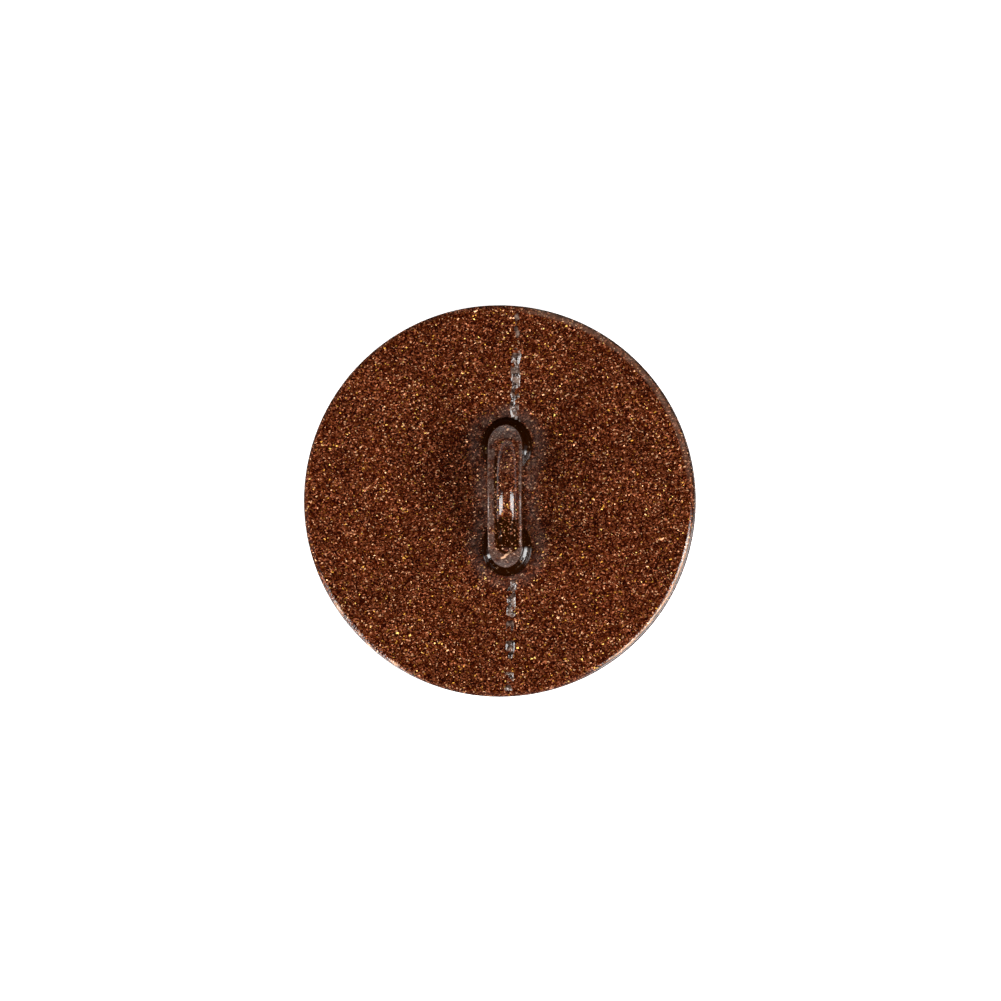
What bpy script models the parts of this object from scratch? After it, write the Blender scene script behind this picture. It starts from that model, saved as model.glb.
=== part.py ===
"""A sew-on shank button: a hollow face shell, a back plate cemented into it, and a thread loop staked
through the plate.

Frame: metres, +Z from the face towards the shank, +Y along the loop. The face rests on Z = 0 and the
button's axis is the Z axis. The loop stands a little off that axis.
"""

import math

import bmesh
import bpy
from mathutils import Matrix, Vector

# Driving dimensions, in metres.
BUTTON_DIAMETER = 0.0200        # over the shell's shoulder
SHANK_HEIGHT = 0.0035           # above the plate's back
SHANK_OFFSET_X = 0.00041        # the loop's middle from the button's axis
SHANK_OFFSET_Y = 0.00019

# Clearances.
FIT_GAP = 0.0001                # left between any two pieces that meet

# Back plate.
PLATE_STEP_IN = 0.0001          # the plate's edge inside the shell's shoulder
PLATE_THICKNESS = 0.0010
PLATE_EDGE_RADIUS = 0.0003
PLATE_UNDERCUT = 0.0001         # small break on the plate's lower edge
LOCATING_RING_WALL = 0.0013
LOCATING_RING_CLEARANCE = 0.0003    # from the ring to the shell's floor

# Face shell.
SHELL_WALL = 0.0016             # side wall below the cement channel
SHELL_FLOOR = 0.0010            # thinnest floor, under the face's groove
CAVITY_DEPTH = 0.0011           # from the shell's floor to the plate
SHOULDER_RADIUS = 0.0002        # top outer edge of the shell
SIDE_CURVE_IN = 0.0016          # how far the side curves in on its way down to the rim
SIDE_UPRIGHT = 0.0002           # upright side between that curve and the shoulder
RIM_LAND = 0.0008               # flat ring that the button rests on
RIM_SLOPE = 0.0012              # from the land in to the groove
FACE_GROOVE_DEPTH = 0.0009      # groove between the rim and the domed middle
FACE_DOME_RISE = 0.0005

# Cement channel, between the shell's top and the locating ring.
CEMENT_WIDTH = 0.0005
CEMENT_DEPTH = 0.0004
CEMENT_EDGE = 0.0001            # rounding of the bead's section

# Thread loop.
LOOP_LENGTH = 0.00728           # along Y, over the loop's end walls
LOOP_WIDTH = 0.00173            # along X
END_TAPER = 0.0012              # how long the rounded ends are, from above
ARCH_OVERRUN = 0.00112          # the bar's oval is this much longer than the end walls leave it
BAR_EDGE_RADIUS = 0.00012       # along the bar's shoulders
BEAD_WIDTH = 0.00124            # half-round bead along the crown
BEAD_RISE = 0.0003              # above the shoulders
BEAD_OFFSET_X = 0.00011         # from the bar's middle
BEAD_OVERRUN = 0.00047          # the bead's oval, which sinks into the bar before the end walls
BEAD_EDGE_RADIUS = 0.0005
THREAD_HOLE_WIDTH = 0.0023      # along Y, at the plate
THREAD_HOLE_HEIGHT = 0.0021     # above the plate's back
FOOT_TOE = 0.00041              # how far a foot stands out past the end wall
FOOT_WIDTH = 0.00255            # along X
FOOT_HEIGHT = 0.0006
FOOT_ROUNDING = 0.0005          # of the foot's top edge
PEG_DIAMETER = 0.0014
HEAD_LIP = 0.00045              # the staked head's edge round its peg, inside the plate
HEAD_TAPER = 0.8                # the head's lower end as a share of its upper end
HEAD_THICKNESS = 0.0005

# Facets.
TURNED_STEPS = 72
ARCH_SIDES = 64
HOLE_STEPS = 12
PEG_SIDES = 20
FOOT_SIDES = 28
END_STEPS = 10
CORNER_STEPS = 3
SIDE_STEPS = 7
FACE_STEPS = 5
EDGE_SEGMENTS = 3
MERGE_DISTANCE = 0.000001
SIDE_CLEARANCE = 0.00002        # between a cutter's side and the side it must not cut

# Sizes worked out from the above.
SHOULDER_R = BUTTON_DIAMETER / 2
PLATE_R = SHOULDER_R - PLATE_STEP_IN
FLOOR_TOP = FACE_GROOVE_DEPTH + SHELL_FLOOR
PLATE_BOTTOM = FLOOR_TOP + CAVITY_DEPTH
PLATE_TOP = PLATE_BOTTOM + PLATE_THICKNESS
SHELL_TOP = PLATE_BOTTOM - FIT_GAP
BORE_R = SHOULDER_R - SHELL_WALL
RING_R = BORE_R - FIT_GAP
RING_BOTTOM = FLOOR_TOP + LOCATING_RING_CLEARANCE
CHANNEL_R = BORE_R + CEMENT_WIDTH + FIT_GAP
CHANNEL_BOTTOM = SHELL_TOP - CEMENT_DEPTH - FIT_GAP
SIDE_CURVE_HEIGHT = SHELL_TOP - SHOULDER_RADIUS - SIDE_UPRIGHT
LAND_OUTER_R = SHOULDER_R - SIDE_CURVE_IN
LAND_INNER_R = LAND_OUTER_R - RIM_LAND
GROOVE_R = LAND_INNER_R - RIM_SLOPE
FOOT_BOTTOM = PLATE_TOP + FIT_GAP
CROWN_TOP = PLATE_TOP + SHANK_HEIGHT
FOOT_INNER_END = THREAD_HOLE_WIDTH / 2
FOOT_OUTER_END = LOOP_LENGTH / 2 + FOOT_TOE
FOOT_LENGTH = FOOT_OUTER_END - FOOT_INNER_END
FOOT_REACH = (FOOT_OUTER_END + FOOT_INNER_END) / 2      # from the loop's middle to a foot's
PEG_HOLE_DIAMETER = PEG_DIAMETER + 2 * FIT_GAP
HEAD_DIAMETER = PEG_DIAMETER + 2 * HEAD_LIP
HEAD_TOP = PLATE_BOTTOM - FIT_GAP
LOOP_RISE = CROWN_TOP - FOOT_BOTTOM

# Lacquer colours, linear.
GLITTER_BROWN = (0.108, 0.027, 0.009)
CEMENT_AMBER = (0.42, 0.30, 0.14)


def clear_scene():
    for old in list(bpy.data.objects):
        bpy.data.objects.remove(old, do_unlink=True)


def new_collection(name):
    collection = bpy.data.collections.new(name)
    bpy.context.scene.collection.children.link(collection)
    return collection


def new_material(name, colour, roughness, metallic):
    material = bpy.data.materials.new(name)
    material.use_nodes = True
    shader = material.node_tree.nodes["Principled BSDF"]
    shader.inputs["Base Color"].default_value = (*colour, 1.0)
    shader.inputs["Roughness"].default_value = roughness
    shader.inputs["Metallic"].default_value = metallic
    return material


def add_object(name, mesh, collection, material=None):
    piece = bpy.data.objects.new(name, mesh)
    collection.objects.link(piece)
    if material:
        mesh.materials.append(material)
    return piece


def as_cutter(piece):
    piece.hide_render = True
    piece.display_type = "WIRE"
    return piece


def arc(centre, radii, start, end, steps):
    """Points on an ellipse's arc in (r, z), both ends included; angles in degrees from +r."""
    points = []
    for step in range(steps + 1):
        angle = math.radians(start + (end - start) * step / steps)
        r = centre[0] + radii[0] * math.cos(angle)
        z = centre[1] + radii[1] * math.sin(angle)
        points.append((r, z))
    return points


def turned(name, profile, collection, material, closed):
    """A profile of (r, z) points turned about Z. Its outer side runs from top to bottom."""
    mesh = bpy.data.meshes.new(name)
    shape = bmesh.new()
    corners = [shape.verts.new((r, 0.0, z)) for r, z in profile]
    for first, second in zip(corners, corners[1:]):
        shape.edges.new((first, second))
    if closed:
        shape.edges.new((corners[-1], corners[0]))
    shape.to_mesh(mesh)
    shape.free()
    piece = add_object(name, mesh, collection, material)
    turn = piece.modifiers.new("Turn", "SCREW")
    turn.axis = "Z"
    turn.angle = math.tau
    turn.steps = TURNED_STEPS
    turn.render_steps = TURNED_STEPS
    turn.use_merge_vertices = True
    turn.merge_threshold = MERGE_DISTANCE
    turn.use_smooth_shade = True
    return piece


def boolean(piece, other, operation):
    cut = piece.modifiers.new(other.name, "BOOLEAN")
    cut.operation = operation
    cut.solver = "EXACT"
    cut.object = other


def cylinder(name, diameter, bottom, top, centre, sides, collection, taper=1.0):
    """A round frustum about Z. Taper is its lower end as a share of the upper one."""
    mesh = bpy.data.meshes.new(name)
    shape = bmesh.new()
    bmesh.ops.create_cone(
        shape, cap_ends=True, segments=sides,
        radius1=diameter / 2 * taper, radius2=diameter / 2, depth=top - bottom,
    )
    bmesh.ops.translate(shape, vec=(centre[0], centre[1], (top + bottom) / 2), verts=shape.verts)
    shape.to_mesh(mesh)
    shape.free()
    return as_cutter(add_object(name, mesh, collection))


def prism(name, points, thickness, matrix, collection):
    """A closed outline in its own XY plane, thickened both ways along its Z, as a mesh."""
    curve = bpy.data.curves.new(name, "CURVE")
    curve.dimensions = "2D"
    curve.fill_mode = "BOTH"
    curve.extrude = thickness / 2
    line = curve.splines.new("POLY")
    line.points.add(len(points) - 1)
    for corner, (x, y) in zip(line.points, points):
        corner.co = (x, y, 0.0, 1.0)
    line.use_cyclic_u = True
    outline = bpy.data.objects.new(name + "_curve", curve)
    outline.matrix_world = matrix
    collection.objects.link(outline)
    bpy.context.view_layer.update()
    mesh = bpy.data.meshes.new_from_object(outline.evaluated_get(bpy.context.evaluated_depsgraph_get()))
    welded = bmesh.new()
    welded.from_mesh(mesh)
    bmesh.ops.remove_doubles(welded, verts=welded.verts, dist=MERGE_DISTANCE)
    welded.to_mesh(mesh)
    welded.free()
    mesh.name = name
    piece = as_cutter(add_object(name, mesh, collection))
    piece.matrix_world = outline.matrix_world.copy()
    bpy.data.objects.remove(outline, do_unlink=True)
    return piece


def round_foot(name, centre, collection):
    """An oval boss with a rounded top edge, which the loop's leg stands on."""
    wide = FOOT_WIDTH / 2
    shoulder = arc((wide - FOOT_ROUNDING, FOOT_HEIGHT - FOOT_ROUNDING), (FOOT_ROUNDING, FOOT_ROUNDING),
                   90, 0, CORNER_STEPS)
    profile = [(0.0, FOOT_HEIGHT)] + shoulder + [(wide, 0.0), (0.0, 0.0)]
    mesh = bpy.data.meshes.new(name)
    shape = bmesh.new()
    corners = [shape.verts.new((r, 0.0, z)) for r, z in profile]
    for first, second in zip(corners, corners[1:]):
        shape.edges.new((first, second))
    bmesh.ops.spin(shape, geom=shape.verts[:] + shape.edges[:], cent=(0.0, 0.0, 0.0), axis=(0.0, 0.0, 1.0),
                   angle=math.tau, steps=FOOT_SIDES, use_merge=True)
    bmesh.ops.remove_doubles(shape, verts=shape.verts, dist=MERGE_DISTANCE)
    bmesh.ops.recalc_face_normals(shape, faces=shape.faces)
    place = Matrix.Translation((centre[0], centre[1], FOOT_BOTTOM))
    stretch = Matrix.Diagonal((1.0, FOOT_LENGTH / FOOT_WIDTH, 1.0, 1.0))
    bmesh.ops.transform(shape, matrix=place @ stretch, verts=shape.verts)
    shape.to_mesh(mesh)
    shape.free()
    return as_cutter(add_object(name, mesh, collection))


def foot_centres():
    return [(SHANK_OFFSET_X, SHANK_OFFSET_Y + side * FOOT_REACH) for side in (-1, 1)]


def make_face_shell(parts, material):
    inside = [
        (0.0, FLOOR_TOP),
        (BORE_R, FLOOR_TOP),
        (BORE_R, CHANNEL_BOTTOM),
        (CHANNEL_R, CHANNEL_BOTTOM),
        (CHANNEL_R, SHELL_TOP),
    ]
    shoulder = arc((SHOULDER_R - SHOULDER_RADIUS, SHELL_TOP - SHOULDER_RADIUS),
                   (SHOULDER_RADIUS, SHOULDER_RADIUS), 90, 0, CORNER_STEPS)
    side = arc((LAND_OUTER_R, SIDE_CURVE_HEIGHT), (SIDE_CURVE_IN, SIDE_CURVE_HEIGHT), 0, -90, SIDE_STEPS)
    slope = []
    for step in range(FACE_STEPS + 1):
        share = step / FACE_STEPS
        slope.append((LAND_INNER_R - RIM_SLOPE * share,
                      FACE_GROOVE_DEPTH * (1 - math.cos(math.pi * share)) / 2))
    dome = []
    for step in range(1, FACE_STEPS + 1):
        share = 1 - step / FACE_STEPS
        dome.append((GROOVE_R * share, FACE_GROOVE_DEPTH - FACE_DOME_RISE * (1 - share ** 2)))
    return turned("face_shell", inside + shoulder + side + slope + dome, parts, material, closed=False)


def make_back_plate(parts, cutters, material):
    edge = arc((PLATE_R - PLATE_EDGE_RADIUS, PLATE_TOP - PLATE_EDGE_RADIUS),
               (PLATE_EDGE_RADIUS, PLATE_EDGE_RADIUS), 90, 0, CORNER_STEPS)
    underside = [
        (PLATE_R, PLATE_BOTTOM + PLATE_UNDERCUT),
        (PLATE_R - PLATE_UNDERCUT, PLATE_BOTTOM),
        (RING_R, PLATE_BOTTOM),
        (RING_R, RING_BOTTOM + PLATE_UNDERCUT),
        (RING_R - PLATE_UNDERCUT, RING_BOTTOM),
        (RING_R - LOCATING_RING_WALL, RING_BOTTOM),
        (RING_R - LOCATING_RING_WALL, PLATE_BOTTOM),
        (0.0, PLATE_BOTTOM),
    ]
    plate = turned("back_plate", [(0.0, PLATE_TOP)] + edge + underside, parts, material, closed=False)
    for number, centre in enumerate(foot_centres()):
        hole = cylinder(f"peg_hole_{number}", PEG_HOLE_DIAMETER, PLATE_BOTTOM - PLATE_THICKNESS,
                        PLATE_TOP + PLATE_THICKNESS, centre, PEG_SIDES, cutters)
        boolean(plate, hole, "DIFFERENCE")
    return plate


def plan_outline():
    """The loop's end walls from above, in (x, y), with sides that just clear the bar's own."""
    radii = (LOOP_WIDTH / 2 + SIDE_CLEARANCE, END_TAPER)
    reach = LOOP_LENGTH / 2 - END_TAPER
    far_end = arc((0.0, reach), radii, 0, 180, END_STEPS)
    near_end = arc((0.0, -reach), radii, 180, 360, END_STEPS)
    return far_end + near_end


def thread_hole_outline():
    """The thread hole's side view, in (y, height above the feet's soles), open well below them."""
    radius = THREAD_HOLE_WIDTH / 2
    spring = THREAD_HOLE_HEIGHT - FIT_GAP - radius
    arch = arc((0.0, spring), (radius, radius), 0, 180, HOLE_STEPS)
    return arch + [(-radius, -SHANK_HEIGHT), (radius, -SHANK_HEIGHT)]


def oval_disc(name, width, span, rise, edge_radius, base, collection):
    """An oval disc across X with rounded rims, centred on the soles; its upper half is an arch."""
    mesh = bpy.data.meshes.new(name)
    shape = bmesh.new()
    bmesh.ops.create_cone(shape, cap_ends=True, segments=ARCH_SIDES, radius1=1.0, radius2=1.0, depth=width)
    lie_down = Matrix.Rotation(math.radians(90.0), 4, "Y")
    oval = Matrix.Diagonal((1.0, span / 2, rise, 1.0))
    bmesh.ops.transform(shape, matrix=oval @ lie_down, verts=shape.verts)
    rims = [edge for edge in shape.edges if any(len(face.verts) > 4 for face in edge.link_faces)]
    bmesh.ops.bevel(shape, geom=rims, offset=edge_radius, segments=EDGE_SEGMENTS, profile=0.5,
                    affect="EDGES", material=-1)
    shape.to_mesh(mesh)
    shape.free()
    disc = add_object(name, mesh, collection)
    disc.location = base
    return disc


def make_shank_loop(parts, cutters, material):
    base = Vector((SHANK_OFFSET_X, SHANK_OFFSET_Y, FOOT_BOTTOM))
    loop = oval_disc("shank_loop", LOOP_WIDTH, LOOP_LENGTH + ARCH_OVERRUN, LOOP_RISE - BEAD_RISE,
                     BAR_EDGE_RADIUS, base, parts)
    loop.data.materials.append(material)
    bead = oval_disc("crown_bead", BEAD_WIDTH, LOOP_LENGTH + BEAD_OVERRUN, LOOP_RISE, BEAD_EDGE_RADIUS,
                     base + Vector((BEAD_OFFSET_X, 0.0, 0.0)), cutters)
    boolean(loop, as_cutter(bead), "UNION")
    middle = base + Vector((0.0, 0.0, SHANK_HEIGHT))
    end_walls = prism("end_walls", plan_outline(), 2 * SHANK_HEIGHT, Matrix.Translation(middle), cutters)
    boolean(loop, end_walls, "INTERSECT")
    # the outline's x, y and thickness run along the world's Y, Z and X
    side_on = Matrix(((0, 0, 1, 0), (1, 0, 0, 0), (0, 1, 0, 0), (0, 0, 0, 1)))
    thread_hole = prism("thread_hole", thread_hole_outline(), 2 * LOOP_WIDTH,
                        Matrix.Translation(base) @ side_on, cutters)
    boolean(loop, thread_hole, "DIFFERENCE")
    for number, centre in enumerate(foot_centres()):
        foot = round_foot(f"foot_{number}", centre, cutters)
        peg = cylinder(f"peg_{number}", PEG_DIAMETER, HEAD_TOP - HEAD_THICKNESS / 2,
                       FOOT_BOTTOM + FOOT_HEIGHT / 2, centre, PEG_SIDES, cutters)
        head = cylinder(f"staked_head_{number}", HEAD_DIAMETER, HEAD_TOP - HEAD_THICKNESS, HEAD_TOP,
                        centre, FOOT_SIDES, cutters, taper=HEAD_TAPER)
        for other in (foot, peg, head):
            boolean(loop, other, "UNION")
    return loop


def make_cement_ring(parts, material):
    inner = BORE_R
    outer = BORE_R + CEMENT_WIDTH
    top = SHELL_TOP
    bottom = SHELL_TOP - CEMENT_DEPTH
    section = [
        (inner + CEMENT_EDGE, top),
        (outer - CEMENT_EDGE, top),
        (outer, top - CEMENT_EDGE),
        (outer, bottom + CEMENT_EDGE),
        (outer - CEMENT_EDGE, bottom),
        (inner + CEMENT_EDGE, bottom),
        (inner, bottom + CEMENT_EDGE),
        (inner, top - CEMENT_EDGE),
    ]
    return turned("cement_ring", section, parts, material, closed=True)


def main():
    clear_scene()
    parts = new_collection("shank_button")
    cutters = new_collection("cutters")
    lacquer = {
        name: new_material(name + "_lacquer", GLITTER_BROWN, 0.32, 0.35)
        for name in ("face_shell", "back_plate", "shank_loop")
    }
    cement = new_material("set_cement", CEMENT_AMBER, 0.25, 0.0)
    make_face_shell(parts, lacquer["face_shell"])
    make_back_plate(parts, cutters, lacquer["back_plate"])
    make_shank_loop(parts, cutters, lacquer["shank_loop"])
    make_cement_ring(parts, cement)


main()
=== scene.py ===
"""The looks of a sew-on shank button: moulded brown plastic under a clear lacquer full of copper glitter.

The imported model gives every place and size. Lengths are in metres, +Z runs from the face to the shank.
"""

import math

import bmesh
import bpy
from mathutils import Matrix, Vector, noise
from mathutils.geometry import intersect_point_line


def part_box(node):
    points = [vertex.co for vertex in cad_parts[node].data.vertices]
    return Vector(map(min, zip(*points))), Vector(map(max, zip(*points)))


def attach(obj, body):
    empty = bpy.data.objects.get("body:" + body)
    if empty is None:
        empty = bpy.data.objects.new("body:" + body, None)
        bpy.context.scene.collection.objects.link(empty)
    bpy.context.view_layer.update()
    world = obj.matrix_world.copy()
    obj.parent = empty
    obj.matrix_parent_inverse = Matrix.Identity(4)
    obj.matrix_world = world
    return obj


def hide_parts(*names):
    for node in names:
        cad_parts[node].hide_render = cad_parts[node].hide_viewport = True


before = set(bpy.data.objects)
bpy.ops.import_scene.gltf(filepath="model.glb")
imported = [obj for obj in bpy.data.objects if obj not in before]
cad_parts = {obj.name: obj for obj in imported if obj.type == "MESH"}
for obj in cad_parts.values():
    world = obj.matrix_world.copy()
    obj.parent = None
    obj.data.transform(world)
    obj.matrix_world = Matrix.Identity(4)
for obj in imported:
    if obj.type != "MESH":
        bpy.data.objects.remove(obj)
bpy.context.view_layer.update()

MM = 0.001

# ---------------------------------------------------------------- sizes taken from the frame
_, shell_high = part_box("face_shell")
plate_low, plate_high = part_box("back_plate")
loop_low, loop_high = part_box("shank_loop")
cement_low, cement_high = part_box("cement_ring")

SHELL_R = shell_high.x
PLATE_TOP = plate_high.z
RING_BOTTOM = plate_low.z
LOOP_X = (loop_low.x + loop_high.x) / 2
LOOP_Y = (loop_low.y + loop_high.y) / 2
LOOP_TOP = loop_high.z
FOOT_WIDTH = loop_high.x - loop_low.x
SOLE_REACH = (loop_high.y - loop_low.y) / 2

# ---------------------------------------------------------------- sizes inside those boxes
PLATE_THICKNESS = 1.0 * MM
PLATE_BOTTOM = PLATE_TOP - PLATE_THICKNESS
FIT_GAP = 0.1 * MM
SEAM = 0.03 * MM                # fine groove left between the plate and the shell
PLATE_R = SHELL_R - SEAM
EDGE_R = 0.27 * MM              # the plate's rounded edge
UNDERCUT = 0.08 * MM
SHELL_TOP = PLATE_BOTTOM - SEAM
CEMENT_OUTER_R = cement_high.x
CEMENT_WIDTH = 0.5 * MM
BORE_R = CEMENT_OUTER_R - CEMENT_WIDTH
RING_R = BORE_R - FIT_GAP
RING_WALL = 1.3 * MM
CHANNEL_BOTTOM = cement_low.z - FIT_GAP
FLOOR_TOP = 1.9 * MM
SHOULDER_R = 0.12 * MM
SIDE_CURVE_IN = 1.6 * MM
SIDE_UPRIGHT = 0.2 * MM
RIM_LAND = 0.8 * MM
RIM_SLOPE = 1.2 * MM
GROOVE_DEPTH = 0.9 * MM
DOME_RISE = 0.5 * MM

BAR_WIDTH = 1.73 * MM
BAR_LENGTH = 7.28 * MM
BAR_SPAN = 8.4 * MM             # of the whole oval that the bar is cut from
BAR_EDGE = 0.10 * MM
END_TAPER = 1.2 * MM            # how long the bar's rounded ends are, from above
BEAD_WIDTH = 1.24 * MM          # raised half-round along the crown
BEAD_SPAN = 7.75 * MM           # of the whole oval, too
BEAD_REACH = 2.95 * MM          # where the bead sinks into the bar, from its middle
BEAD_RISE = 0.30 * MM
BEAD_EDGE = BEAD_WIDTH * 0.46
BEAD_SHIFT = 0.11 * MM          # the bead sits a little to one side of the bar
HOLE_WIDTH = 2.3 * MM
HOLE_HEIGHT = 2.1 * MM
FOOT_HEIGHT = 0.6 * MM
FOOT_ROUNDING = 0.5 * MM
FOOT_REACH = (SOLE_REACH + HOLE_WIDTH / 2) / 2
FOOT_LENGTH = SOLE_REACH - HOLE_WIDTH / 2
SOLE_GAP = 0.02 * MM
PEG_R = 0.7 * MM
HEAD_R = 1.15 * MM
HEAD_TAPER = 0.8
HEAD_THICKNESS = 0.5 * MM
CUT_CLEARANCE = 0.02 * MM       # how far a cutting solid stays clear of a face that it leaves alone
VOXEL = 0.04 * MM

TURN_STEPS = 256
PLATE_RINGS = 90
SHARP = math.radians(40)

# ---------------------------------------------------------------- the mould's parting line
PARTING_X = 0.71 * MM           # where it crosses the middle
PARTING_LEAN = math.radians(1.2)
PARTING_INSET = 0.25 * MM
FLASH_WIDTH = 0.50 * MM
FLASH_HEIGHT = 0.08 * MM
FLASH_STRIDE = 0.025 * MM
FLASH_WANDER = 0.12 * MM
FLASH_SINK = 0.009 * MM
FLASH_ROOT = 0.12 * MM
# how strongly the flash stands along the line: (middle, half length, strength) in mm
FLASH_RUNS = ((9.0, 0.9, 0.22), (6.1, 1.8, 1.0), (4.4, 0.5, 0.8), (-5.0, 1.0, 1.0), (-6.4, 0.3, 0.4),
              (-7.6, 0.5, 0.7), (-9.3, 0.6, 0.8))

# ---------------------------------------------------------------- the finish
FLAKE_LENGTH = 0.108 * MM
FLAKE_WIDTH = 0.056 * MM
FLAKE_TURNS = (20.0, 80.0, 140.0)       # degrees, the ways the three lots of flakes lie
FLAKE_TILT = 0.7
GILT_ABOVE = 0.94               # the share of the flakes that are copper
GRAIN = 0.16 * MM               # ripple of the lacquer over the flakes
MOTTLE = 1.6 * MM               # slow change of the glitter's density
PATCH = 0.35 * MM               # patches where the coat runs thin
SMOOTH_RIPPLE = 0.02 * MM
CHIPPED_RIPPLE = 0.16 * MM
LACQUER_IOR = 1.57
PLASTIC_IOR = 1.57
CEMENT_IOR = 1.47

# ---------------------------------------------------------------- wear, painted highlights and painted shade on the plate
# bands on the edge: start and end in degrees anticlockwise from +X, and how far in from the rim each runs
# the smooth brown band on the upper right edge is partly thin coat and partly a painted sheen for the light
# it catches
BROWN_BAND = (8, 82, 0.30 * MM)
# painted highlights: a pale line on the lower right edge, and pale broken chips on the lower left
PALE_LINE = (-54, -14, 0.13 * MM)
PALE_CHIPS = (212, 240, 0.19 * MM)
WHOLE_EDGE = (-180, 180, 0.20 * MM)
# painted shade: dark outlines along the edge's outer rim
RIGHT_OUTLINE = (-62, 82, 0.05 * MM)
LEFT_OUTLINE = (82, 262, 0.05 * MM)
DULL_EDGES = ((75, 207, 0.30 * MM), (-8, 80, 0.34 * MM), (243, 300, 0.30 * MM))
ROUGH_LEFT = (205, 245, 0.30 * MM)
ROUGH_RIGHT = (-80, 0, 0.30 * MM)
RIGHT_WALL = (-100, 100, 0.0)
BAND_FADE = 0.12                # radians, how softly a band's ends fade
RIM_FADE = 0.05 * MM            # how softly its inner side fades
# a fade is a pair: where a change starts, and where it is complete
EDGE_FADE = (0.4 * MM, 0.6 * MM)        # below the plate's top, where wear on the edge ends
WALL_FADE = (0.5 * EDGE_R, 0.8 * EDGE_R)        # below the plate's top, where the dull wall starts
HALO_START = (0.0, 0.25 * MM)           # out from the shank's footprint
HALO_END = (0.35 * MM, 1.05 * MM)
# out from the footprint, where the painted shade at the feet fades
FOOT_LINE = (0.0, 0.14 * MM)
CHIP_FADE = (-0.05, 0.2)
COARSE_CHIP = 0.5 * MM
FINE_CHIP = 0.17 * MM
LINE_CHIP = 0.3 * MM

# ---------------------------------------------------------------- wear, painted shade and painted highlights on the loop and the shell
CREASE_INSIDE = 0.07 * MM       # from the bead's outline to the groove beside it
CREASE_FADE = (0.03 * MM, 0.15 * MM)
SHOULDER_FADE = (-0.05 * MM, 0.05 * MM)         # out from the bead's outline
HIGH_FADE = (0.8 * MM, 1.1 * MM)        # above the plate
# where the feet end, which are painted dark as shade
FEET_FADE = (0.6 * MM, 0.95 * MM)       # above the plate
SHADE_START = (0.95 * MM, 1.3 * MM)     # along the crown, from its middle to its near end
SHADE_END = (2.5 * MM, 2.9 * MM)
SHADE_EDGE = (-0.05 * MM, 0.02 * MM)    # out from the bead's outline
FAR_CROWN = (0.5 * MM, 1.4 * MM)        # along the crown, from its middle to its far end
# where the painted shade fades in the groove and at the crown's near end
FAR_CREASE = (1.6 * MM, 2.6 * MM)
NEAR_CREASE = (1.8 * MM, 2.6 * MM)
NEAR_END = (2.2 * MM, 3.2 * MM)
LEFT_CREASE = (-0.1 * MM, 0.3 * MM)
# what stays shiny on each foot: fades at both ends, in degrees about the foot's middle
FAR_FOOT_SHINES = (((-80, -66), (-24, -12)),)
NEAR_FOOT_SHINES = (((-48, -34), (-8, 4)), ((-162, -156), (-146, -140)))
HIGHLIGHT_MARK_FADE = (0.032 * MM, 0.064 * MM)
# small pale marks on the loop's crown, painted as highlights: x, y of both ends from the loop's middle, in mm
HIGHLIGHT_MARKS = ((-0.18, -3.16, 0.0, -3.10), (0.0, -3.04, 0.30, -2.82), (0.10, 3.36, 0.14, 3.40))
FACING_UP = 0.2                 # how much a surface's normal points up where it counts as the crown
WALL_SLOPE = (0.05, 0.25)
SHOULDER_SLOPE = (0.1, 0.3)
SEAM_FADE = (0.1 * MM, 0.25 * MM)       # below the shell's top
RUBBED_SIDE = (0.8 * MM, 1.4 * MM)      # below the shell's top
RUBBED_HALF = (-0.2 * SHELL_R, 0.1 * SHELL_R)   # across the shell, from left to right
LAND_FADE = (0.0, 0.12 * MM)            # above the surface that the button rests on
LAND_INNER_FADE = 0.2 * MM

# ---------------------------------------------------------------- light
TENT_GLOW = 0.7
CEILING_GLOW = 0.02
TENT_EDGE = (0.06, 0.3)         # the tent ends between these heights, as parts of a unit sphere
BOARD_GLOW = 0.7                # the board is lit from below as well
BOARD_SIZE = 0.6
BOARD_GAP = 0.01 * MM           # keeps the board's face apart from the rim that rests on it
LIGHT_DISTANCE = 0.35
RIGHT_POWER = 1.15              # watts
LEFT_POWER = 1.0
STRIP_POWER = 0.7
CORNER_POWER = 0.45

CAMERA_DISTANCE = 0.6
FRAME_WIDTH = 51.0 * MM
CAMERA_TARGET = (0.08 * MM, 0.0, PLATE_TOP)
CAMERA_LEAN = (math.radians(2.5), math.radians(-1.25))      # to the right, and away from the top


# ---------------------------------------------------------------- small helpers
def linear(code):
    """An sRGB hex colour as linear RGBA."""
    channels = [int(code[i:i + 2], 16) / 255 for i in (0, 2, 4)]
    return tuple(c / 12.92 if c <= 0.04045 else ((c + 0.055) / 1.055) ** 2.4 for c in channels) + (1.0,)


def smoothstep(low, high, value):
    """Goes softly from 0 to 1 between two values."""
    share = min(max((value - low) / (high - low), 0.0), 1.0)
    return share * share * (3 - 2 * share)


def between(start, end, value):
    """1 between two fades, else 0."""
    return smoothstep(*start, value) * (1 - smoothstep(*end, value))


def arc(centre, radii, start, end, steps):
    """Points on an ellipse's arc, both ends included; angles in degrees."""
    turn = [math.radians(start + (end - start) * i / steps) for i in range(steps + 1)]
    return [(centre[0] + radii[0] * math.cos(a), centre[1] + radii[1] * math.sin(a)) for a in turn]


def finish_mesh(shape, name, material=None, smooth=True):
    """Turns a bmesh into an object that stands in the scene."""
    mesh = bpy.data.meshes.new(name)
    shape.to_mesh(mesh)
    shape.free()
    piece = bpy.data.objects.new(name, mesh)
    bpy.context.scene.collection.objects.link(piece)
    if material:
        mesh.materials.append(material)
    if smooth:
        mesh.shade_smooth()
    return piece


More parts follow.
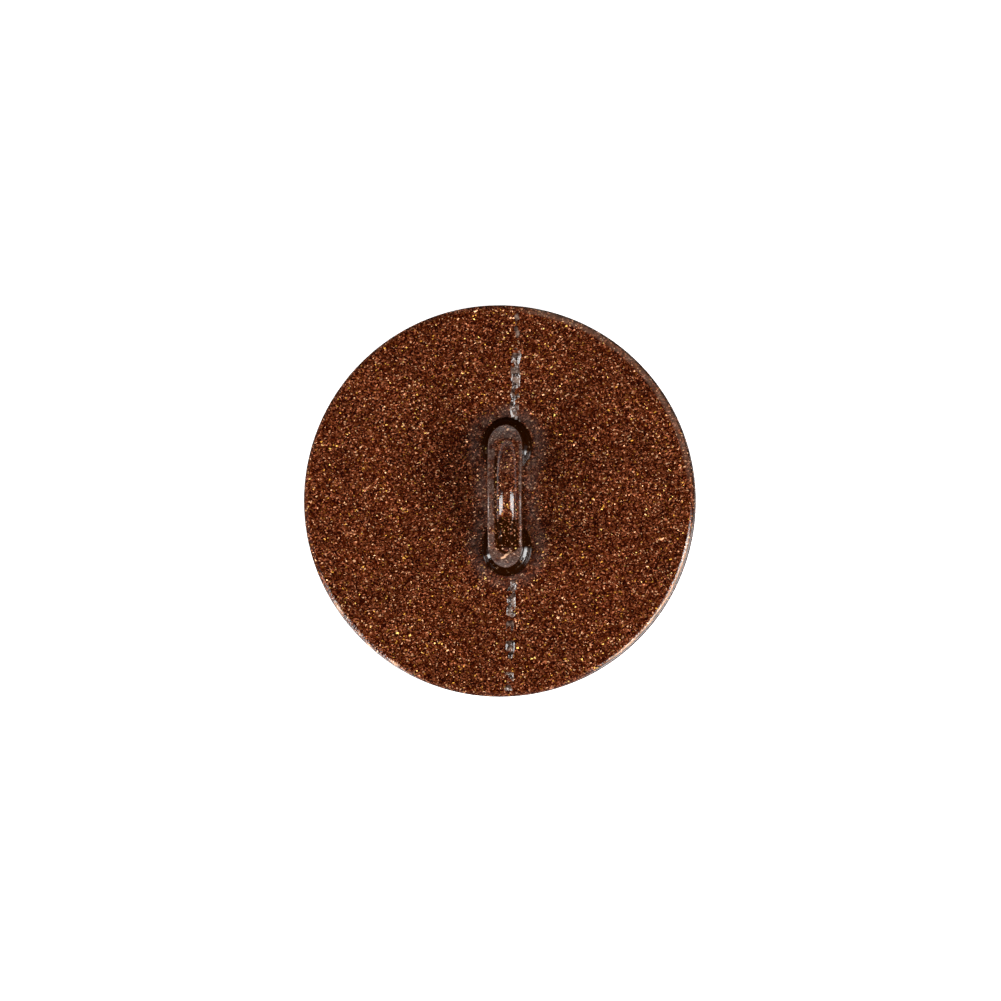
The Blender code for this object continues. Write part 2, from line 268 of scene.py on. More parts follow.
def lathe(profile, steps):
    """A bmesh turned about Z from (r, z) points."""
    shape = bmesh.new()
    corners = [shape.verts.new((r, 0.0, z)) for r, z in profile]
    for first, second in zip(corners, corners[1:]):
        shape.edges.new((first, second))
    bmesh.ops.spin(shape, geom=shape.verts[:] + shape.edges[:], cent=(0, 0, 0), axis=(0, 0, 1),
                   angle=math.tau, steps=steps, use_merge=True)
    bmesh.ops.remove_doubles(shape, verts=shape.verts, dist=1e-7)
    bmesh.ops.recalc_face_normals(shape, faces=shape.faces)
    return shape


def apply_modifiers(piece):
    """Keeps a piece's mesh as its modifiers leave it."""
    bpy.context.view_layer.update()
    graph = bpy.context.evaluated_depsgraph_get()
    mesh = bpy.data.meshes.new_from_object(piece.evaluated_get(graph))
    old = piece.data
    piece.modifiers.clear()
    piece.data = mesh
    bpy.data.meshes.remove(old)


def join_solid(piece, other, operation):
    """Adds or cuts another solid, which is used up."""
    cut = piece.modifiers.new("cut", "BOOLEAN")
    cut.operation = operation
    cut.solver = "EXACT"
    cut.object = other
    apply_modifiers(piece)
    bpy.data.objects.remove(other)


def paint(piece, name, value_at):
    """Stores value_at(position, normal) on every vertex as an attribute that a material reads."""
    layer = piece.data.attributes.new(name, "FLOAT", "POINT")
    values = [value_at(v.co, v.normal) for v in piece.data.vertices]
    layer.data.foreach_set("value", values)


def outside(x, y, width, length, shift=0.0):
    """How far a point is outside a round-ended outline about the loop, seen from above."""
    beyond = max(abs(y - LOOP_Y) - (length - width) / 2, 0.0)
    return math.hypot(x - LOOP_X - shift, beyond) - width / 2


def from_footprint(x, y):
    """How far a point is outside the bar and its two round feet, seen from above."""
    feet = [math.hypot(x - LOOP_X, y - LOOP_Y - side * FOOT_REACH) - FOOT_WIDTH / 2 for side in (-1, 1)]
    return min(outside(x, y, BAR_WIDTH, BAR_LENGTH), *feet)


# ---------------------------------------------------------------- materials
def add(tree, kind, settings=None, stops=(), **links):
    """Adds a node, sets its properties, sockets and colour stops, and links the sockets given by name."""
    node = tree.nodes.new(kind)
    for key, value in (settings or {}).items():
        if isinstance(key, int) or key in node.inputs:
            node.inputs[key].default_value = value
        else:
            setattr(node, key, value)
    for number, (place, code) in enumerate(stops):
        elements = node.color_ramp.elements
        element = elements[number] if number < len(elements) else elements.new(1.0)
        element.position = place
        element.color = linear(code)
    for key, source in links.items():
        socket = node.inputs[int(key[1:])] if key[0] == "_" else node.inputs[key.replace("_", " ")]
        tree.links.new(source, socket)
    return node


def new_material(name):
    material = bpy.data.materials.new(name)
    material.use_nodes = True
    tree = material.node_tree
    return material, tree, tree.nodes["Principled BSDF"]


def painted(tree, name):
    """What was painted on the vertices under this name."""
    return add(tree, "ShaderNodeAttribute", {"attribute_name": name}).outputs["Fac"]


def mix_colours(tree, share, first, second):
    """Mixes a colour into another one: the second is an output or an sRGB code."""
    if isinstance(second, str):
        return add(tree, "ShaderNodeMix", {"data_type": "RGBA", 7: linear(second)}, _0=share,
                   _6=first).outputs[2]
    return add(tree, "ShaderNodeMix", {"data_type": "RGBA"}, _0=share, _6=first, _7=second).outputs[2]


def scattered_flakes(tree, place):
    """Three lots of flakes that lie different ways: at each point the brightest flake is on top."""
    top = None
    for turn in FLAKE_TURNS:
        lying = add(tree, "ShaderNodeMapping", {
            "vector_type": "TEXTURE", "Rotation": (math.radians(turn),) * 3,
            "Scale": (FLAKE_LENGTH, FLAKE_WIDTH, FLAKE_WIDTH)}, Vector=place)
        flake = add(tree, "ShaderNodeTexVoronoi", {"Scale": 1.0}, Vector=lying.outputs[0]).outputs["Color"]
        if top is None:
            top = flake
            continue
        shine = [add(tree, "ShaderNodeSeparateColor", _0=one).outputs["Red"] for one in (flake, top)]
        above = add(tree, "ShaderNodeMath", {"operation": "GREATER_THAN"}, _0=shine[0], _1=shine[1])
        top = mix_colours(tree, above.outputs[0], top, flake)
    return top


def flake_colours(tree, place, level, own):
    """Copper flakes and a few gilt ones, a little denser in some places than in others."""
    # the brightest stops also paint glints into the flakes' colour, on top of the real glints from their
    # metal and tilt
    copper = add(tree, "ShaderNodeValToRGB", stops=[
        (0.00, "160100"), (0.25, "240400"), (0.50, "441200"), (0.75, "623017"), (0.90, "8c4b30"),
        (0.96, "b26947"), (1.00, "f0b98c"),
    ], Fac=level)
    gilt = add(tree, "ShaderNodeValToRGB", stops=[
        (0.0, "140300"), (0.5, "482006"), (0.8, "80501c"), (0.95, "c89038"), (1.0, "ffd878")], Fac=level)
    is_gilt = add(tree, "ShaderNodeMath", {"operation": "GREATER_THAN", 1: GILT_ABOVE}, _0=own)
    flakes = mix_colours(tree, is_gilt.outputs[0], copper.outputs[0], gilt.outputs[0])
    mottle = add(tree, "ShaderNodeTexNoise", {"Scale": 1 / MOTTLE, "Detail": 2.0}, Vector=place)
    density = add(tree, "ShaderNodeMapRange", {"From Min": 0.3, "From Max": 0.7, "To Min": 0.81,
                  "To Max": 1.07}, Value=mottle.outputs["Fac"])
    return add(tree, "ShaderNodeVectorMath", {"operation": "SCALE"}, _0=flakes,
               Scale=density.outputs[0]).outputs[0]


def wear_and_painted_light(tree, place, level, coated):
    """Bare grey-brown plastic where the coat is thin, pale painted highlights on the edges, and dark painted
    shade over both.
    """
    patch = add(tree, "ShaderNodeTexNoise", {"Scale": 1 / PATCH, "Detail": 3.0}, Vector=place)
    patchy = add(tree, "ShaderNodeMapRange", {"From Min": 0.36, "From Max": 0.62, "To Min": 0.15,
                 "To Max": 1.0}, Value=patch.outputs["Fac"])
    bare = add(tree, "ShaderNodeMath", {"operation": "MULTIPLY", "use_clamp": True},
               _0=painted(tree, "thin_coat"), _1=patchy.outputs[0])
    plastic = add(tree, "ShaderNodeValToRGB", stops=[
        (0.0, "3a2822"), (0.5, "523c34"), (0.9, "685046"), (1.0, "9c8070")], Fac=level)
    worn = mix_colours(tree, bare.outputs[0], coated, plastic.outputs[0])
    # painted highlights: pale cream mixed in
    pale = mix_colours(tree, painted(tree, "painted_highlight"), worn, "e6b490")
    # the brightest flakes still glint through the painted shade
    sunk = add(tree, "ShaderNodeMapRange", {"From Min": 0.8, "To Min": 1.0, "To Max": 0.25}, Value=level)
    shade_share = add(tree, "ShaderNodeMath", {"operation": "MULTIPLY", "use_clamp": True},
               _0=painted(tree, "painted_shade"), _1=sunk.outputs[0])
    # painted shade: dark brown mixed over the colour
    return mix_colours(tree, shade_share.outputs[0], pale, "1c0800")


def tilted_normal(tree, own):
    """Each flake lies at a tilt of its own."""
    tilt = add(tree, "ShaderNodeVectorMath", {"operation": "SUBTRACT", 1: (0.5, 0.5, 0.5)}, _0=own)
    small = add(tree, "ShaderNodeVectorMath", {"operation": "SCALE", "Scale": FLAKE_TILT}, _0=tilt.outputs[0])
    normal = add(tree, "ShaderNodeNewGeometry").outputs["Normal"]
    leaning = add(tree, "ShaderNodeVectorMath", {"operation": "ADD"}, _0=normal, _1=small.outputs[0])
    return add(tree, "ShaderNodeVectorMath", {"operation": "NORMALIZE"}, _0=leaning.outputs[0]).outputs[0]


def glitter_lacquer(name):
    """Polyester glitter in clear lacquer over dark brown plastic: short flakes that lie every way, each
    with a shine and a tilt of its own, a few of them gilt, under a glossy coat with a fine ripple. The
    coat is thin on ridges and round the shank, where the plastic shows. Shade is painted dark into the
    corners, creases and feet, and highlights are painted pale onto some edges."""
    material, tree, shader = new_material(name)
    place = add(tree, "ShaderNodeTexCoord").outputs["Object"]
    flake = scattered_flakes(tree, place)
    shine = add(tree, "ShaderNodeSeparateColor", _0=flake).outputs["Red"]
    # the brightest of three lots, evened out again
    level = add(tree, "ShaderNodeMath", {"operation": "POWER", 1: 3.0}, _0=shine).outputs[0]
    own = add(tree, "ShaderNodeTexWhiteNoise", Vector=flake)
    coated = flake_colours(tree, place, level, own.outputs["Value"])
    tree.links.new(wear_and_painted_light(tree, place, level, coated), shader.inputs["Base Color"])
    tree.links.new(tilted_normal(tree, own.outputs["Color"]), shader.inputs["Normal"])
    metal = add(tree, "ShaderNodeMapRange", {"From Min": 0.6, "To Min": 0.0, "To Max": 0.6}, Value=level)
    tree.links.new(metal.outputs[0], shader.inputs["Metallic"])
    shader.inputs["Roughness"].default_value = 0.45
    shader.inputs["Specular IOR Level"].default_value = 0.0      # the coat has the shine

    ripple = add(tree, "ShaderNodeTexNoise", {"Scale": 1 / GRAIN, "Detail": 2.0, "Roughness": 0.6},
                 Vector=place)
    uneven = add(tree, "ShaderNodeMapRange", {"To Min": SMOOTH_RIPPLE, "To Max": CHIPPED_RIPPLE},
                 Value=painted(tree, "chipped_edge"))
    orange_peel = add(tree, "ShaderNodeBump", {"Strength": 0.35}, Distance=uneven.outputs[0],
                      Height=ripple.outputs["Fac"])
    tree.links.new(orange_peel.outputs[0], shader.inputs["Coat Normal"])
    coat = add(tree, "ShaderNodeMapRange", {"To Min": 1.0, "To Max": 0.02}, Value=painted(tree, "matt_edge"))
    tree.links.new(coat.outputs[0], shader.inputs["Coat Weight"])
    shader.inputs["Coat Roughness"].default_value = 0.1
    shader.inputs["Coat IOR"].default_value = LACQUER_IOR
    return material


def worn_flash_plastic():
    """Moulding flash where the lacquer has chipped off: glossy, blotchy grey-brown plastic."""
    material, tree, shader = new_material("worn_flash_plastic")
    place = add(tree, "ShaderNodeTexCoord").outputs["Object"]
    mottle = add(tree, "ShaderNodeTexNoise", {"Scale": 1 / (0.22 * MM), "Detail": 3.0}, Vector=place)
    colour = add(tree, "ShaderNodeValToRGB", stops=[(0.35, "1e120e"), (0.5, "49362e"), (0.65, "806a5e")],
                 Fac=mottle.outputs["Fac"])
    tree.links.new(colour.outputs[0], shader.inputs["Base Color"])
    chips = add(tree, "ShaderNodeBump", {"Strength": 0.6, "Distance": 0.03 * MM},
                Height=mottle.outputs["Fac"])
    tree.links.new(chips.outputs[0], shader.inputs["Normal"])
    shader.inputs["Roughness"].default_value = 0.15
    shader.inputs["IOR"].default_value = PLASTIC_IOR
    return material


def set_cement():
    """Solvent cement, set clear and slightly amber, with small bubbles."""
    material, tree, shader = new_material("set_cement")
    place = add(tree, "ShaderNodeTexCoord").outputs["Object"]
    bubbles = add(tree, "ShaderNodeTexVoronoi", {"Scale": 1 / (0.3 * MM)}, Vector=place)
    colour = add(tree, "ShaderNodeValToRGB", stops=[(0.0, "d8c39a"), (0.3, "ad9468"), (1.0, "9a8055")],
                 Fac=bubbles.outputs["Distance"])
    tree.links.new(colour.outputs[0], shader.inputs["Base Color"])
    shader.inputs["Roughness"].default_value = 0.2
    shader.inputs["IOR"].default_value = CEMENT_IOR
    return material


def white_board():
    """Matt white studio board with a faint tooth, lit from below as well so that it stays white."""
    material, tree, shader = new_material("white_board")
    place = add(tree, "ShaderNodeTexCoord").outputs["Object"]
    tooth = add(tree, "ShaderNodeTexNoise", {"Scale": 1 / (0.8 * MM), "Detail": 3.0}, Vector=place)
    colour = add(tree, "ShaderNodeValToRGB", stops=[(0.3, "f6f6f6"), (0.7, "fbfbfb")],
                 Fac=tooth.outputs["Fac"])
    tree.links.new(colour.outputs[0], shader.inputs["Base Color"])
    shader.inputs["Emission Color"].default_value = linear("ffffff")
    shader.inputs["Emission Strength"].default_value = BOARD_GLOW
    shader.inputs["Roughness"].default_value = 0.9
    return material


# ---------------------------------------------------------------- pieces
def peg_hole(side):
    """The solid that cuts a peg's hole in the plate."""
    profile = [(0.0, PLATE_TOP + FIT_GAP), (PEG_R + FIT_GAP, PLATE_TOP + FIT_GAP),
               (PEG_R + FIT_GAP, PLATE_BOTTOM - FIT_GAP), (0.0, PLATE_BOTTOM - FIT_GAP)]
    shape = lathe(profile, 32)
    bmesh.ops.translate(shape, vec=(LOOP_X, LOOP_Y + side * FOOT_REACH, 0.0), verts=shape.verts)
    return finish_mesh(shape, "peg_hole")


def rim(point, start, end, reach):
    """1 in a band on the plate's edge, else 0."""
    middle = math.radians((start + end) / 2)
    half = math.radians((end - start) / 2)
    turn = math.atan2(point.y, point.x) - middle
    apart = abs(math.atan2(math.sin(turn), math.cos(turn)))
    inside = PLATE_R - math.hypot(point.x, point.y)
    near = 1 - smoothstep(reach - RIM_FADE, reach + RIM_FADE, inside)
    return near * (1 - smoothstep(half - BAND_FADE, half + BAND_FADE, apart))


def above_wall(point):
    """1 on the plate's top and rounded edge, 0 lower down on its wall."""
    return 1 - smoothstep(*EDGE_FADE, PLATE_TOP - point.z)


def chips(point, grain):
    """1 on scattered chips, else 0."""
    return smoothstep(*CHIP_FADE, noise.noise(point / grain))


def plate_thin_coat(point, normal):
    """A halo round the shank's feet, and the edge towards the upper right, whose smooth brown is partly thin
    coat and partly painted sheen.
    """
    if normal.z < 0.02:
        return 0.15
    halo = between(HALO_START, HALO_END, from_footprint(point.x, point.y))
    edge = 0.7 * rim(point, *BROWN_BAND) * above_wall(point)
    return max(0.75 * halo, edge, 0.2 * rim(point, *WHOLE_EDGE))


def plate_painted_shade(point, normal):
    """Painted shade: a dark line where the feet stand on the plate, and a dark outline along the edge."""
    foot_line = 1 - smoothstep(*FOOT_LINE, from_footprint(point.x, point.y)) if normal.z > 0.5 else 0.0
    outline = max(1.5 * rim(point, *RIGHT_OUTLINE), 0.6 * rim(point, *LEFT_OUTLINE))
    return max(0.7 * foot_line, outline * above_wall(point))


def plate_painted_highlight(point, normal):
    """Painted highlights: a pale line along the lower right edge, and pale broken chips along the lower left.
    """
    line = (0.45 + 0.4 * chips(point, LINE_CHIP)) * rim(point, *PALE_LINE)
    chipped = 0.9 * chips(point, COARSE_CHIP) * chips(point, FINE_CHIP) * rim(point, *PALE_CHIPS)
    return max(line, chipped, 0.05 * rim(point, *BROWN_BAND)) * above_wall(point)


def plate_matt_edge(point, normal):
    """The edge is dull, but for its lower sides, and so is the wall on the right."""
    dull = max(rim(point, *band) for band in DULL_EDGES)
    wall = smoothstep(*WALL_FADE, PLATE_TOP - point.z) * rim(point, *RIGHT_WALL)
    return max(dull * above_wall(point), wall)


def plate_chipped_edge(point, normal):
    """The coat is rough on the lower left edge, and a little on the lower right."""
    return max(rim(point, *ROUGH_LEFT), 0.25 * rim(point, *ROUGH_RIGHT))


def make_back_plate(material):
    """The flat back with its rounded edge and the locating ring inside."""
    flat = PLATE_R - EDGE_R
    top = [(flat * i / PLATE_RINGS, PLATE_TOP) for i in range(PLATE_RINGS)]
    edge = arc((flat, PLATE_TOP - EDGE_R), (EDGE_R, EDGE_R), 90, 0, 12)
    under = [(PLATE_R, PLATE_BOTTOM + UNDERCUT), (PLATE_R - UNDERCUT, PLATE_BOTTOM), (RING_R, PLATE_BOTTOM),
             (RING_R, RING_BOTTOM), (RING_R - RING_WALL, RING_BOTTOM), (RING_R - RING_WALL, PLATE_BOTTOM),
             (0.0, PLATE_BOTTOM)]
    plate = finish_mesh(lathe(top + edge + under, TURN_STEPS), "back_plate_lacquered", material)
    for side in (-1, 1):
        join_solid(plate, peg_hole(side), "DIFFERENCE")
    plate.data.set_sharp_from_angle(angle=SHARP)
    paint(plate, "thin_coat", plate_thin_coat)
    paint(plate, "painted_shade", plate_painted_shade)
    paint(plate, "painted_highlight", plate_painted_highlight)
    paint(plate, "chipped_edge", plate_chipped_edge)
    paint(plate, "matt_edge", plate_matt_edge)
    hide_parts("back_plate")
    return plate


def oval_disc(name, width, span, rise, edge, shift=0.0):
    """An oval disc that stands across X, its middle on the soles, with rounded rims."""
    shape = bmesh.new()
    bmesh.ops.create_cone(shape, cap_ends=True, segments=160, radius1=1.0, radius2=1.0, depth=width)
    lie_down = Matrix.Rotation(math.radians(90), 4, "Y")
    oval = Matrix.Diagonal((1.0, span / 2, rise, 1.0))
    bmesh.ops.transform(shape, matrix=oval @ lie_down, verts=shape.verts)
    rims = [e for e in shape.edges if any(len(f.verts) > 4 for f in e.link_faces)]
    bmesh.ops.bevel(shape, geom=rims, offset=edge, segments=8, profile=0.5, affect="EDGES", material=-1)
    bmesh.ops.translate(shape, vec=(LOOP_X + shift, LOOP_Y, PLATE_TOP), verts=shape.verts)
    return finish_mesh(shape, name)


def upright_prism(name, outline, depth, matrix):
    """A closed outline pushed out both ways."""
    shape = bmesh.new()
    face = shape.faces.new([shape.verts.new((x, y, -depth / 2)) for x, y in outline])
    pushed = bmesh.ops.extrude_face_region(shape, geom=[face])
    moved = [g for g in pushed["geom"] if isinstance(g, bmesh.types.BMVert)]
    bmesh.ops.translate(shape, vec=(0, 0, depth), verts=moved)
    bmesh.ops.recalc_face_normals(shape, faces=shape.faces)
    bmesh.ops.transform(shape, matrix=matrix, verts=shape.verts)
    return finish_mesh(shape, name)


def end_walls(rise):
    """The loop's outline from above, with its tapered ends, as a solid to cut the bar down to."""
    radii = (BAR_WIDTH / 2 + CUT_CLEARANCE, END_TAPER)
    reach = BAR_LENGTH / 2 - END_TAPER
    outline = arc((0, reach), radii, 0, 180, 24) + arc((0, -reach), radii, 180, 360, 24)
    middle = Matrix.Translation((LOOP_X, LOOP_Y, PLATE_TOP + rise))
    return upright_prism("end_walls", outline, 2 * rise - CUT_CLEARANCE, middle)


def thread_hole(rise):
    """The opening that the thread passes through, open down to the plate."""
    radius = HOLE_WIDTH / 2
    outline = arc((0, HOLE_HEIGHT - radius), (radius, radius), 0, 180, 32)
    outline += [(-radius, -rise), (radius, -rise)]
    side_on = Matrix(((0, 0, 1, LOOP_X), (1, 0, 0, LOOP_Y), (0, 1, 0, PLATE_TOP), (0, 0, 0, 1)))
    return upright_prism("hole", outline, 2 * FOOT_WIDTH, side_on)


def make_foot(side):
    """A round boss that the loop's leg stands on, with the peg below it and the peg's staked head."""
    wide = FOOT_WIDTH / 2
    neck = PLATE_BOTTOM - PLATE_TOP - FIT_GAP
    head_low = neck - HEAD_THICKNESS
    profile = [(0.0, FOOT_HEIGHT)]
    profile += arc((wide - FOOT_ROUNDING, FOOT_HEIGHT - FOOT_ROUNDING), (FOOT_ROUNDING, FOOT_ROUNDING),
                   90, 0, 12)
    profile += [(wide, SOLE_GAP), (PEG_R, SOLE_GAP), (PEG_R, neck), (HEAD_R, neck),
                (HEAD_R * HEAD_TAPER, head_low), (0.0, head_low)]
    shape = lathe(profile, 64)
    for corner in shape.verts:
        if corner.co.z >= SOLE_GAP / 2 and math.hypot(corner.co.x, corner.co.y) > PEG_R:
            corner.co.y *= FOOT_LENGTH / FOOT_WIDTH
    bmesh.ops.translate(shape, vec=(LOOP_X, LOOP_Y + side * FOOT_REACH, PLATE_TOP), verts=shape.verts)
    return finish_mesh(shape, "foot")


def from_bead(point):
    """How far a point is outside the bead, seen from above."""
    return outside(point.x, point.y, BEAD_WIDTH, 2 * BEAD_REACH, BEAD_SHIFT)


def shaded_crown(point):
    """The crown's near end, which is painted dark as shade there, and dulled."""
    return between(SHADE_START, SHADE_END, LOOP_Y - point.y) * (1 - smoothstep(*SHADE_EDGE, from_bead(point)))


def crease(point):
    """The groove beside the bead."""
    return 1 - smoothstep(*CREASE_FADE, abs(from_bead(point) + CREASE_INSIDE))


def dark_crease(point):
    """Painted shade in the groove, darkest on its left and near sides."""
    left = smoothstep(*LEFT_CREASE, LOOP_X - point.x)
    near = smoothstep(*NEAR_CREASE, LOOP_Y - point.y)
    far = smoothstep(*FAR_CREASE, point.y - LOOP_Y)
    return crease(point) * max(left, near, 0.25) * (1 - 0.7 * far)


def shiny_foot(point):
    """1 on the parts of the feet that keep their shine, else 0."""
    side = math.copysign(1, point.y - LOOP_Y)
    heading = math.degrees(math.atan2(point.y - LOOP_Y - side * FOOT_REACH, point.x - LOOP_X))
    shines = FAR_FOOT_SHINES if side > 0 else NEAR_FOOT_SHINES
    return max(between(start, end, heading) for start, end in shines)


def low_down(point):
    """1 on the feet, else 0."""
    return 1 - smoothstep(*FEET_FADE, point.z - PLATE_TOP)


def loop_thin_coat(point, normal):
    """The bar's shoulders, all round the bead, and a little on the crown's far end."""
    shoulder = smoothstep(*SHOULDER_FADE, from_bead(point)) * smoothstep(*SHOULDER_SLOPE, normal.z)
    high = smoothstep(*HIGH_FADE, point.z - PLATE_TOP)
    far = smoothstep(*FAR_CROWN, point.y - LOOP_Y)
    return max(1.5 * shoulder * high, 0.3 * far * high, 0.1)


def loop_painted_shade(point, normal):
    """Painted shade: dark on the feet, the steep walls, the groove beside the bead, and the crown's near end.
    """
    wall = 1 - smoothstep(*WALL_SLOPE, normal.z)
    end = smoothstep(*NEAR_END, LOOP_Y - point.y)
    return max(3.0 * low_down(point), 0.85 * wall, 0.9 * dark_crease(point), 1.1 * shaded_crown(point),
               0.25 * end)


def loop_matt_edge(point, normal):
    """Only some sides of the feet, the crown's middle and the shoulders keep a full shine."""
    return max(low_down(point) * (1 - shiny_foot(point)), crease(point), shaded_crown(point),
               0.6 * min(loop_thin_coat(point, normal), 1.0))


def loop_painted_highlights(point, normal):
    """1 on the small painted highlights on the crown, else 0."""
    if normal.z <= FACING_UP:
        return 0.0
    spot = Vector((point.x - LOOP_X, point.y - LOOP_Y))
    gaps = []
    for x1, y1, x2, y2 in HIGHLIGHT_MARKS:
        first, second = Vector((x1, y1)) * MM, Vector((x2, y2)) * MM
        share = intersect_point_line(spot, first, second)[1]
        gaps.append((spot - first.lerp(second, min(max(share, 0.0), 1.0))).length)
    return 1 - smoothstep(*HIGHLIGHT_MARK_FADE, min(gaps))


def make_shank(material):
    """The thread loop: a bar with shoulders and a half-round bead along its crown, on two round feet."""
    rise = LOOP_TOP - PLATE_TOP
    loop = oval_disc("shank_lacquered", BAR_WIDTH, BAR_SPAN, rise - BEAD_RISE, BAR_EDGE)
    join_solid(loop, oval_disc("bead", BEAD_WIDTH, BEAD_SPAN, rise, BEAD_EDGE, BEAD_SHIFT), "UNION")
    join_solid(loop, end_walls(rise), "INTERSECT")
    join_solid(loop, thread_hole(rise), "DIFFERENCE")
    for side in (-1, 1):
        join_solid(loop, make_foot(side), "UNION")
    remesh = loop.modifiers.new("melt", "REMESH")
    remesh.mode = "VOXEL"
    remesh.voxel_size = VOXEL
    remesh.use_smooth_shade = True
    soften = loop.modifiers.new("soften", "SMOOTH")
    soften.factor = 0.5
    soften.iterations = 2
    apply_modifiers(loop)
    loop.data.materials.clear()
    loop.data.materials.append(material)
    paint(loop, "thin_coat", loop_thin_coat)
    paint(loop, "painted_shade", loop_painted_shade)
    paint(loop, "matt_edge", loop_matt_edge)
    paint(loop, "painted_highlight", loop_painted_highlights)
    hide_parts("shank_loop")
    return loop


def make_face_shell(material):
    """The face: a rounded rim, a groove and a low dome."""
    channel_r = CEMENT_OUTER_R + FIT_GAP
    inside = [(0.0, FLOOR_TOP), (BORE_R, FLOOR_TOP), (BORE_R, CHANNEL_BOTTOM), (channel_r, CHANNEL_BOTTOM),
              (channel_r, SHELL_TOP)]
    shoulder = arc((SHELL_R - SHOULDER_R, SHELL_TOP - SHOULDER_R), (SHOULDER_R, SHOULDER_R), 90, 0, 6)
    curve_top = SHELL_TOP - SHOULDER_R - SIDE_UPRIGHT
    side = arc((SHELL_R - SIDE_CURVE_IN, curve_top), (SIDE_CURVE_IN, curve_top), 0, -90, 24)
    land_inner = SHELL_R - SIDE_CURVE_IN - RIM_LAND
    groove_r = land_inner - RIM_SLOPE
    slope = [(land_inner - RIM_SLOPE * i / 16, GROOVE_DEPTH * (1 - math.cos(math.pi * i / 16)) / 2)
             for i in range(17)]
    dome = [(groove_r * (1 - i / 24), GROOVE_DEPTH - DOME_RISE * (1 - (1 - i / 24) ** 2))
            for i in range(1, 25)]
    shell = finish_mesh(lathe(inside + shoulder + side + slope + dome, TURN_STEPS),
                        "face_shell_lacquered", material)
    shell.data.set_sharp_from_angle(angle=SHARP)

    def thin_coat(point, normal):
        """The ring that the button rests on is rubbed."""
        around = math.hypot(point.x, point.y)
        land = smoothstep(land_inner - LAND_INNER_FADE, land_inner, around)
        return max(0.55 * land * (1 - smoothstep(*LAND_FADE, point.z)), 0.08)

    def seam_line(point, normal):
        """The seam with the plate, which is painted dark as shade and left dull."""
        return 1 - smoothstep(*SEAM_FADE, SHELL_TOP - point.z)

    def matt_edge(point, normal):
        """The seam is dull, and so is the upper side on the right, which fingers rub."""
        rubbed = (1 - smoothstep(*RUBBED_SIDE, SHELL_TOP - point.z)) * smoothstep(*RUBBED_HALF, point.x)
        return max(seam_line(point, normal), rubbed)

    paint(shell, "thin_coat", thin_coat)
    paint(shell, "painted_shade", seam_line)
    paint(shell, "matt_edge", matt_edge)
    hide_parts("face_shell")
    return shell


def flash_strength(y):
    """How far the flash stands out of the surface at a place along the parting line, from 0 to 1."""
    return max(strength * (1 - smoothstep(half * 0.75, half, abs(y / MM - middle)))
               for middle, half, strength in FLASH_RUNS)


def flash_corner(along, across, length):
    """A corner of the flash, from its place along and across the line, both from -0.5 to 0.5."""
    y = along * length
    x = PARTING_X + y * math.tan(PARTING_LEAN) + across * FLASH_WIDTH
    wander = FLASH_WANDER * noise.noise(Vector((y / (0.9 * MM), 8.1, 0.0)))
    chip = noise.noise(Vector((x / (0.26 * MM), y / (0.42 * MM), 1.3)))
    ragged = noise.noise(Vector((x / (0.07 * MM), y / (0.10 * MM), 5.2)))
    swell = 0.45 + 1.6 * chip + 0.4 * ragged
    height = FLASH_HEIGHT * flash_strength(y) * swell * (1 - (2 * across) ** 2)
    return Vector((x + wander, y, PLATE_TOP + height - FLASH_SINK))


def make_parting_flash(material):
    """The mould's parting line: broken chips of flash across the back, sunk where the line is clean."""
    length = 2 * math.sqrt((PLATE_R - PARTING_INSET) ** 2 - PARTING_X ** 2)
    shape = bmesh.new()
    bmesh.ops.create_grid(shape, x_segments=round(FLASH_WIDTH / FLASH_STRIDE),
                          y_segments=round(length / FLASH_STRIDE), size=0.5)
    for corner in shape.verts:
        corner.co = flash_corner(corner.co.y, corner.co.x, length)
    skirt = bmesh.ops.extrude_face_region(shape, geom=shape.faces[:])
    for corner in skirt["geom"]:
        if isinstance(corner, bmesh.types.BMVert):
            corner.co.z = PLATE_TOP - FLASH_ROOT
    bmesh.ops.recalc_face_normals(shape, faces=shape.faces)
    flash = finish_mesh(shape, "parting_line_flash", material)
    return flash


# ---------------------------------------------------------------- studio
def make_floor(material):
    """The board that the button rests on."""
    shape = bmesh.new()
    bmesh.ops.create_grid(shape, x_segments=1, y_segments=1, size=BOARD_SIZE)
    bmesh.ops.translate(shape, vec=(0.0, 0.0, -BOARD_GAP), verts=shape.verts)
    floor = finish_mesh(shape, "white_board", material, smooth=False)


def soft_box(name, azimuth, elevation, width, height, power):
    """A rectangular light that looks at the button."""
    light = bpy.data.lights.new(name, "AREA")
    light.shape = "RECTANGLE"
    light.size = width
    light.size_y = height
    light.energy = power
    lamp = bpy.data.objects.new(name, light)
    bpy.context.scene.collection.objects.link(lamp)
    a, e = math.radians(azimuth), math.radians(elevation)
    away = Vector((math.cos(a) * math.cos(e), math.sin(a) * math.cos(e), math.sin(e)))
    across = Vector((-math.sin(a), math.cos(a), 0.0))
    lamp.matrix_world = Matrix.LocRotScale(
        away * LIGHT_DISTANCE, Matrix((across, away.cross(across), away)).transposed(), None)


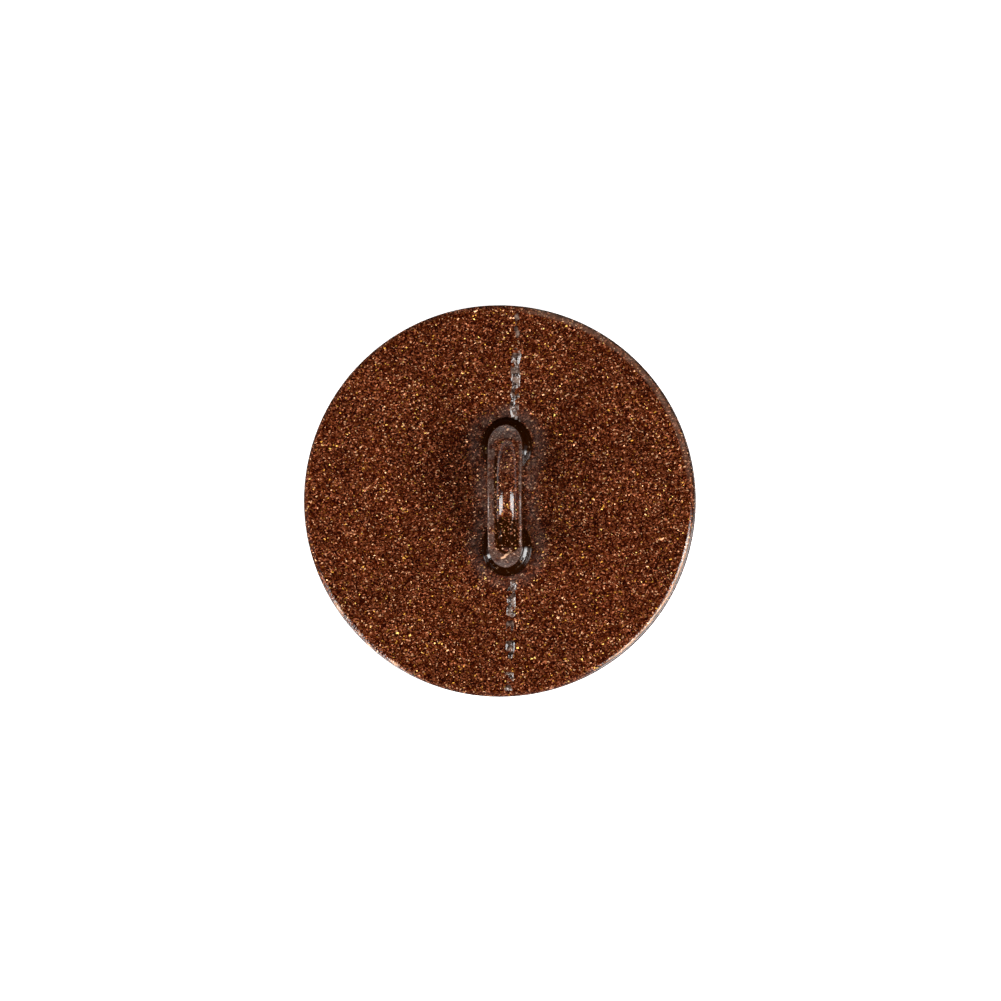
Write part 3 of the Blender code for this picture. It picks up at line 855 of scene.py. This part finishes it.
def make_camera():
    """Looks straight at the back through a long lens, from slightly right of and below the axis."""
    camera = bpy.data.cameras.new("camera")
    camera.sensor_width = 36.0
    camera.lens = camera.sensor_width * CAMERA_DISTANCE / FRAME_WIDTH
    camera.clip_start = 0.01
    view = bpy.data.objects.new("camera", camera)
    bpy.context.scene.collection.objects.link(view)
    away = Vector((math.tan(CAMERA_LEAN[0]), math.tan(CAMERA_LEAN[1]), 1.0)).normalized()
    right = Vector((0.0, 1.0, 0.0)).cross(away).normalized()
    up = away.cross(right)
    view.matrix_world = Matrix.LocRotScale(Vector(CAMERA_TARGET) + away * CAMERA_DISTANCE,
                                           Matrix((right, up, away)).transposed(), None)
    bpy.context.scene.camera = view


def light_tent():
    """A white tent round the sides, open to a dark ceiling above."""
    world = bpy.data.worlds.new("light_tent")
    world.use_nodes = True
    tree = world.node_tree
    heading = add(tree, "ShaderNodeTexCoord").outputs["Generated"]
    height = add(tree, "ShaderNodeSeparateXYZ", Vector=heading).outputs["Z"]
    glow = add(tree, "ShaderNodeMapRange", {
        "interpolation_type": "SMOOTHSTEP", "From Min": TENT_EDGE[0], "From Max": TENT_EDGE[1],
        "To Min": TENT_GLOW, "To Max": CEILING_GLOW}, Value=height)
    tree.links.new(glow.outputs[0], tree.nodes["Background"].inputs["Strength"])
    tree.nodes["Background"].inputs["Color"].default_value = linear("ffffff")
    bpy.context.scene.world = world


def make_studio():
    """Two tall soft boxes at the sides, and two low ones in front for the edges of the button."""
    make_floor(white_board())
    soft_box("right_box", -10, 41, 0.12, 0.22, RIGHT_POWER)
    soft_box("left_box", 192, 41, 0.11, 0.22, LEFT_POWER)
    soft_box("front_right_strip", -44, 30, 0.24, 0.02, STRIP_POWER)
    soft_box("front_left_strip", 222, 14, 0.08, 0.05, CORNER_POWER)
    light_tent()
    bpy.context.scene.view_settings.view_transform = "Standard"


# ---------------------------------------------------------------- build
make_camera()
make_studio()
pieces = [
    make_back_plate(glitter_lacquer("plate_glitter_lacquer")),
    make_shank(glitter_lacquer("shank_glitter_lacquer")),
    make_face_shell(glitter_lacquer("shell_glitter_lacquer")),
]
pieces.append(make_parting_flash(worn_flash_plastic()))
for piece in pieces:
    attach(piece, "root")
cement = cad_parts["cement_ring"]
cement.data.materials.clear()
cement.data.materials.append(set_cement())

bpy.context.view_layer.update()
